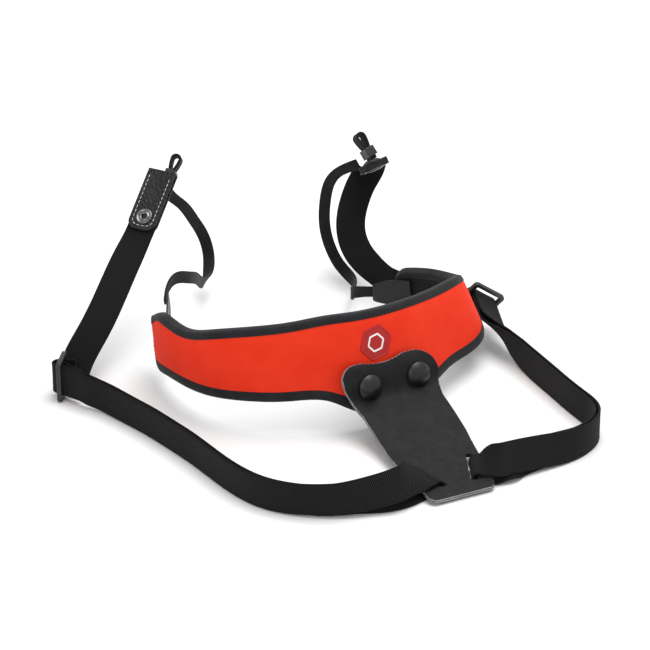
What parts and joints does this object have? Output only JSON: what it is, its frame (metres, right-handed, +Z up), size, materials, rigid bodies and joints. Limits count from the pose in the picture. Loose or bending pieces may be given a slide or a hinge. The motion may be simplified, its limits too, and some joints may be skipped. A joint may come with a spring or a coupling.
{
  "type": "binocular harness",
  "caption": "Chest harness for binoculars: curved padded neoprene band, press-stud yoke plate, sliding elastic side straps and snap tabs with lug loops.",
  "frame": {"origin": "on the ground at the middle of the bounding box, laid out as pictured", "axes": "+X to the right seen from the front, +Y to the back, +Z up; the yoke plate faces -Y"},
  "size_m": [0.3376, 0.368, 0.1161],
  "materials": {
    "badge": "satin moulded rubber",
    "pad_face": "smooth laminated fabric",
    "pad_core": "closed-cell foam",
    "pad_lining": "brushed lining",
    "pad_binding": "folded binding tape",
    "dark_metal": "blackened",
    "snap_cap": "gloss black",
    "snap_ring": "gloss black",
    "plate_front": "matt smooth",
    "plate_backing": "matt",
    "tab_leather": "grained",
    "slider_plastic": "moulded",
    "patch": "woven",
    "side_webbing": "elastic twill webbing",
    "narrow_webbing": "plain webbing"
  },
  "bodies": {
    "harness": {"badge": "badge", "left_end_patch": "patch", "left_end_strap": "narrow_webbing", "left_inner_run": "side_webbing", "left_lug_loop": "narrow_webbing", "left_outer_run": "side_webbing", "left_riser": "side_webbing", "left_tab_leaf": "tab_leather", "left_tab_stud": "snap_cap", "pad_binding": "pad_binding", "pad_core": "pad_core", "pad_face": "pad_face", "pad_lining": "pad_lining", "pad_stud_left": "dark_metal", "pad_stud_right": "dark_metal", "pad_washer_left": "dark_metal", "pad_washer_right": "dark_metal", "right_end_patch": "patch", "right_end_strap": "narrow_webbing", "right_inner_run": "side_webbing", "right_lug_loop": "narrow_webbing", "right_outer_run": "side_webbing", "right_riser": "side_webbing", "right_tab_leaf": "tab_leather", "right_tab_stud": "snap_cap"},
    "yoke_plate": {"yoke_plate_front": "plate_front", "yoke_plate_backing": "plate_backing", "yoke_cap_left": "snap_cap", "yoke_cap_right": "snap_cap", "yoke_socket_left": "dark_metal", "yoke_socket_right": "dark_metal"},
    "left_slider": {"left_slider_frame": "slider_plastic", "left_slider_loop": "side_webbing", "left_slider_fold": "side_webbing"},
    "left_flap": {"left_tab_flap": "tab_leather", "left_tab_ring": "snap_ring"},
    "left_keeper": {"left_keeper": "slider_plastic"},
    "right_slider": {"right_slider_frame": "slider_plastic", "right_slider_loop": "side_webbing", "right_slider_fold": "side_webbing"},
    "right_flap": {"right_tab_flap": "tab_leather", "right_tab_ring": "snap_ring"},
    "right_keeper": {"right_keeper": "slider_plastic"}
  },
  "joints": [
    {"name": "plate_unsnap", "type": "slide", "parent": "harness", "child": "yoke_plate", "axis": [0.5085, -0.8211, 0.2593], "range_m": [0, 0.001]},
    {"name": "left_slider_travel", "type": "slide", "parent": "harness", "child": "left_slider", "axis": [0.9927, -0.1203, 0], "range_m": [-0.006, 0]},
    {"name": "left_flap_open", "type": "hinge", "parent": "harness", "child": "left_flap", "pos_m": [-0.11021, 0.09541, 0.0893], "axis": [-0.9111, 0.4091, 0.05], "range_deg": [0, 100]},
    {"name": "right_slider_travel", "type": "slide", "parent": "harness", "child": "right_slider", "axis": [0.1998, -0.9191, -0.3397], "range_m": [-0.006, 0]},
    {"name": "right_flap_open", "type": "hinge", "parent": "harness", "child": "right_flap", "pos_m": [0.03547, 0.14752, 0.08545], "axis": [-0.9136, -0.1549, -0.3759], "range_deg": [0, 100]},
    {"name": "left_keeper_travel", "type": "slide", "parent": "harness", "child": "left_keeper", "axis": [-0.3615, -0.5237, -0.7714], "range_m": [0, 0.0018]},
    {"name": "right_keeper_travel", "type": "slide", "parent": "harness", "child": "right_keeper", "axis": [0.5227, -0.3399, -0.7819], "range_m": [0, 0.0018]}
  ]
}
